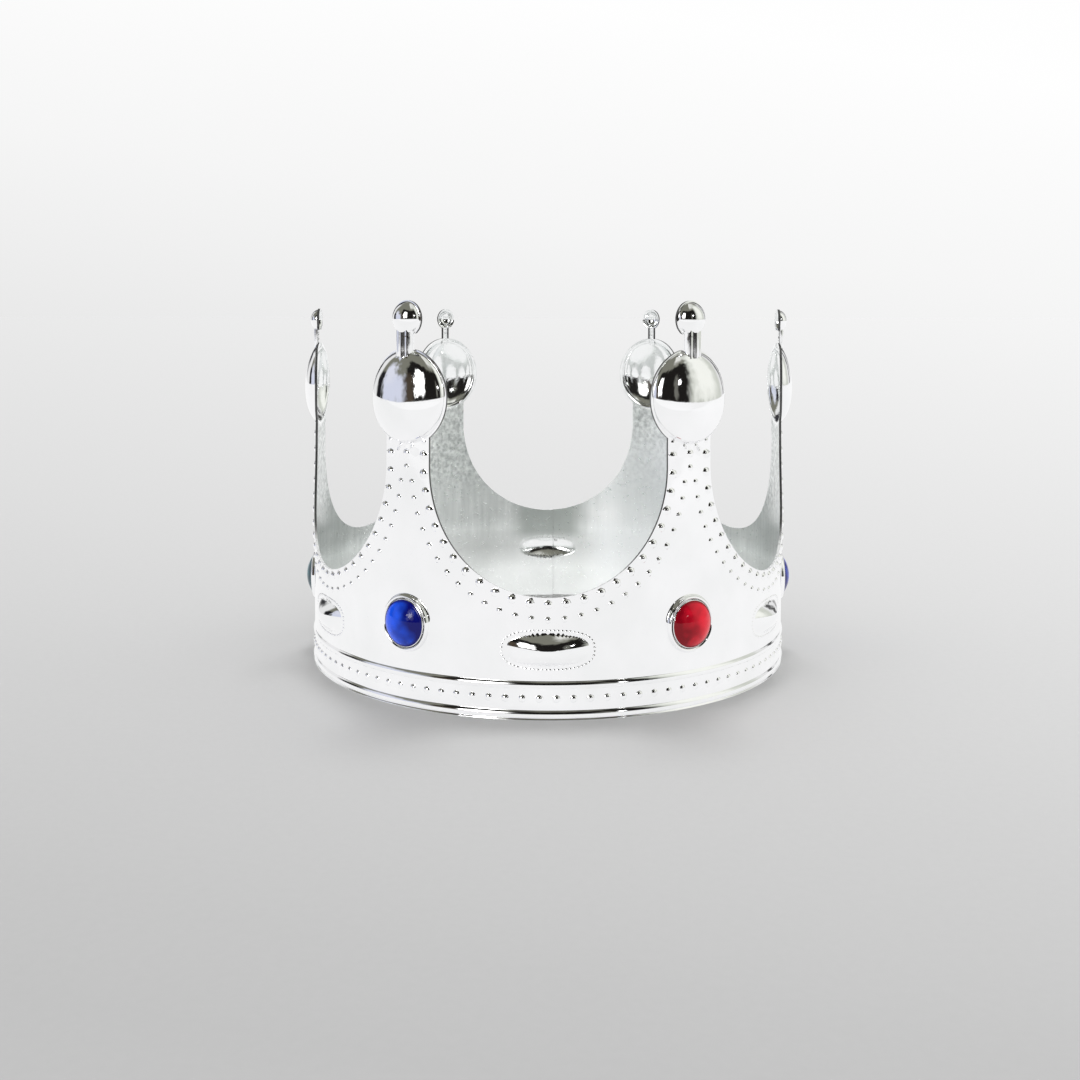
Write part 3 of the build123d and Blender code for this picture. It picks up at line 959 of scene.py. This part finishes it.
def keep_glue():
    """The CAD's own glue, with a better material."""
    glue = glue_material()
    for name in ("gem_glue_dots", "seam_glue"):
        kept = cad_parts[name]
        for kept_slot in kept.material_slots:
            kept_slot.material = glue


# ---- stage: pale floor, studio light, camera -----------------------------------------------
# The studio gradient: how far up the view, and the grey it shows there from 0 to 255.
BACKDROP = [(0.0, 195), (0.1, 199), (0.3, 211), (0.6, 231.5), (0.8, 245.5), (1.0, 254.5)]
BACKDROP_TILT = 0.17            # how much of the gradient's rise goes across the view
PAPER = 0.833
FIBRE = 0.008
SKY = 0.9
FLOOR_SHINE = 1.02              # how bright the floor looks in the mirror finish
FLOOR_SHINE_SHARE = 0.85
FLOOR_RINGS = [0.5, 2.0, 8.0, 30.0]
FLOOR_ROUND = 64

# Panels of light and shade round the studio, as the mirror finish sees them: bearing from the
# front (towards the right is positive), height above the horizon and softness, in degrees, then
# colour.
PANELS = [
    ((15, 200), (62, 100), 10, (0.8, 0.8, 0.76)),
    ((-62, 60), (-20, 50), 4, (0.012, 0.011, 0.01)),
    ((-62, -46), (-20, 24), 5, (0.07, 0.055, 0.04)),
    ((-44, -21), (7, 36), 3, (2.5, 2.5, 2.45)),
    ((-38, -27), (14, 27), 2, (16.0, 16.0, 16.0)),
    ((26, 34), (3, 30), 3, (0.16, 0.16, 0.14)),
    ((58, 122), (-4, 76), 7, (0.66, 0.68, 0.62)),
    ((68, 104), (2, 62), 9, (0.97, 0.98, 0.92)),
    ((-101, -63), (-3, 19), 5, (0.68, 0.71, 0.84)),
    ((-101, -80), (12, 29), 5, (0.74, 0.76, 0.86)),
    ((-118, -102), (-20, 16), 3, (0.015, 0.015, 0.018)),
    ((132, 138), (-20, 40), 2, (0.1, 0.1, 0.1)),
    ((148, 170), (5, 40), 5, (0.06, 0.06, 0.055)),
    ((-174, -140), (4, 44), 5, (0.04, 0.04, 0.045)),
]
PANEL_WOBBLE = 18.0             # degrees by which the panels' edges wander
# Two small bright lamps, one each side of the camera: bearing, height and half width, in degrees.
LAMPS = [(-43, 20, 2.5), (38, 20, 2.0)]
LAMP_LIGHT = (14.0, 14.0, 14.0)
CEILING = (0.2, 0.2, 0.165)
WALL_BEHIND = (0.85, 0.85, 0.85)

SUN_LIGHT = 1.03
SUN_WIDTH = 19                  # degrees
SUN_TURN = (-20, 2, 0)          # degrees
LENS = 45.64
SENSOR = 36
CAMERA_AT = (-0.0004, -0.4952, 0.1222)
CAMERA_TURN, CAMERA_PITCH, CAMERA_ROLL = 0.29, 9.46, 0.1    # degrees: left, down, anticlockwise


def tone(level):
    """Linear light for a grey that reads as this level, 0 to 255, on screen."""
    light = ((level / 255 + 0.055) / 1.055) ** 2.4
    return (light, light, light)


def backdrop_shade(tree):
    """The pale studio gradient: lighter towards the top of the view and a little to the right."""
    right, up, _ = parts_of(tree, tree.nodes.new("ShaderNodeTexCoord").outputs["Window"])
    tilt = times(tree, math_node(tree, "SUBTRACT", right, 0.5), BACKDROP_TILT)
    stops = [(where, tone(level)) for where, level in BACKDROP]
    return ramp_of(tree, math_node(tree, "ADD", up, tilt), stops)


def reflected(tree):
    """1 for a ray that comes off something shiny, else 0."""
    return tree.nodes.new("ShaderNodeLightPath").outputs["Is Glossy Ray"]


def paper_material():
    """Pale paper that takes the studio gradient, and reads bright and even in the mirror finish."""
    material, tree, shader = new_material("paper", Roughness=1.0, Specular_IOR_Level=0.0)
    fibre = noise(tree, coordinates(tree), 400)
    low, high = (PAPER * (1 - FIBRE),) * 3, (PAPER * (1 + FIBRE),) * 3
    feed(tree, shader.inputs["Base Color"],
         multiplied(tree, blend_colours(tree, fibre, low, high), backdrop_shade(tree)))
    shine = tree.nodes.new("ShaderNodeEmission")
    feed(tree, shine.inputs["Color"], (FLOOR_SHINE,) * 3)
    choice = tree.nodes.new("ShaderNodeMixShader")
    feed(tree, choice.inputs[0], times(tree, reflected(tree), FLOOR_SHINE_SHARE))
    feed(tree, choice.inputs[1], shader.outputs[0])
    feed(tree, choice.inputs[2], shine.outputs[0])
    tree.links.new(choice.outputs[0], tree.nodes["Material Output"].inputs["Surface"])
    return material


def floor():
    """A round floor, wide enough to meet the backdrop at the horizon."""
    form = bmesh.new()
    middle = form.verts.new((0, 0, 0))
    turns = [2 * math.pi * i / FLOOR_ROUND for i in range(FLOOR_ROUND)]
    rings = [[form.verts.new((radius * math.cos(t), radius * math.sin(t), 0)) for t in turns]
             for radius in FLOOR_RINGS]
    for i in range(FLOOR_ROUND):
        j = (i + 1) % FLOOR_ROUND
        form.faces.new((middle, rings[0][i], rings[0][j]))
        for near, far in zip(rings, rings[1:]):
            form.faces.new((near[i], far[i], far[j], near[j]))
    mesh = bpy.data.meshes.new("floor")
    form.to_mesh(mesh)
    form.free()
    mesh.materials.append(paper_material())
    paper = bpy.data.objects.new("floor", mesh)
    bpy.context.scene.collection.objects.link(paper)


def studio_seen_in_mirrors(tree):
    """Colour of the studio in a direction: ceiling, bright wall behind, panels, then lamps."""
    direction = tree.nodes.new("ShaderNodeTexCoord").outputs["Generated"]
    uneven = noise(tree, direction, 9, 3.0)
    x, y, z = parts_of(tree, direction)
    bearing = math_node(tree, "DEGREES", math_node(tree, "ARCTAN2", x, times(tree, y, -1.0)))
    height = math_node(tree, "DEGREES", math_node(tree, "ARCSINE", z))
    wobble = times(tree, math_node(tree, "SUBTRACT", uneven, 0.5), PANEL_WOBBLE)
    bearing_here = math_node(tree, "ADD", bearing, wobble)
    height_here = math_node(tree, "ADD", height, wobble)

    behind = math_node(tree, "ABSOLUTE", bearing)
    colour = mixed(tree, patch(tree, behind, (117, 190), 4, height, (-90, 45), 10), CEILING, WALL_BEHIND)
    for sideways, upwards, soft, tint in PANELS:
        share = patch(tree, bearing_here, sideways, soft, height_here, upwards, soft)
        colour = mixed(tree, share, colour, tint)
    for side, up, half in LAMPS:
        share = patch(tree, bearing, (side - half, side + half), 1, height, (up - half, up + half), 1)
        colour = mixed(tree, share, colour, LAMP_LIGHT)
    return colour


def studio():
    """The backdrop to the eye, soft even light on what is matte, and panels in the mirror finish."""
    world = bpy.data.worlds.new("studio")
    world.use_nodes = True
    tree = world.node_tree
    to_eye = tree.nodes.new("ShaderNodeLightPath").outputs["Is Camera Ray"]
    plain = mixed(tree, to_eye, (SKY, SKY, SKY), backdrop_shade(tree))
    colour = mixed(tree, reflected(tree), plain, studio_seen_in_mirrors(tree))
    feed(tree, tree.nodes["Background"].inputs["Color"], colour)
    bpy.context.scene.world = world
    bpy.context.scene.view_settings.view_transform = "Standard"


def high_light():
    """A broad soft light, high and a little behind, for the shadow in front of the crown."""
    data = bpy.data.lights.new("high_light", "SUN")
    data.energy = SUN_LIGHT
    data.angle = math.radians(SUN_WIDTH)
    light = bpy.data.objects.new("high_light", data)
    light.rotation_euler = [math.radians(turn) for turn in SUN_TURN]
    light.visible_glossy = False
    bpy.context.scene.collection.objects.link(light)


def camera():
    """The camera, just below the tops of the finials and pitched down at the front."""
    data = bpy.data.cameras.new("camera")
    data.lens = LENS
    data.sensor_width = SENSOR
    view = bpy.data.objects.new("camera", data)
    view.location = CAMERA_AT
    turned = Matrix.Rotation(math.radians(CAMERA_TURN), 3, "Z")
    pitched = Matrix.Rotation(math.radians(90 - CAMERA_PITCH), 3, "X")
    rolled = Matrix.Rotation(math.radians(CAMERA_ROLL), 3, "Z")
    view.rotation_euler = (turned @ pitched @ rolled).to_euler()
    bpy.context.scene.collection.objects.link(view)
    bpy.context.scene.camera = view


place(band_mesh(), "crown_band_formed", [chrome(), satin(), cut_edge()], "crown_band")
place_gems()
keep_glue()
floor()
high_light()
studio()
camera()
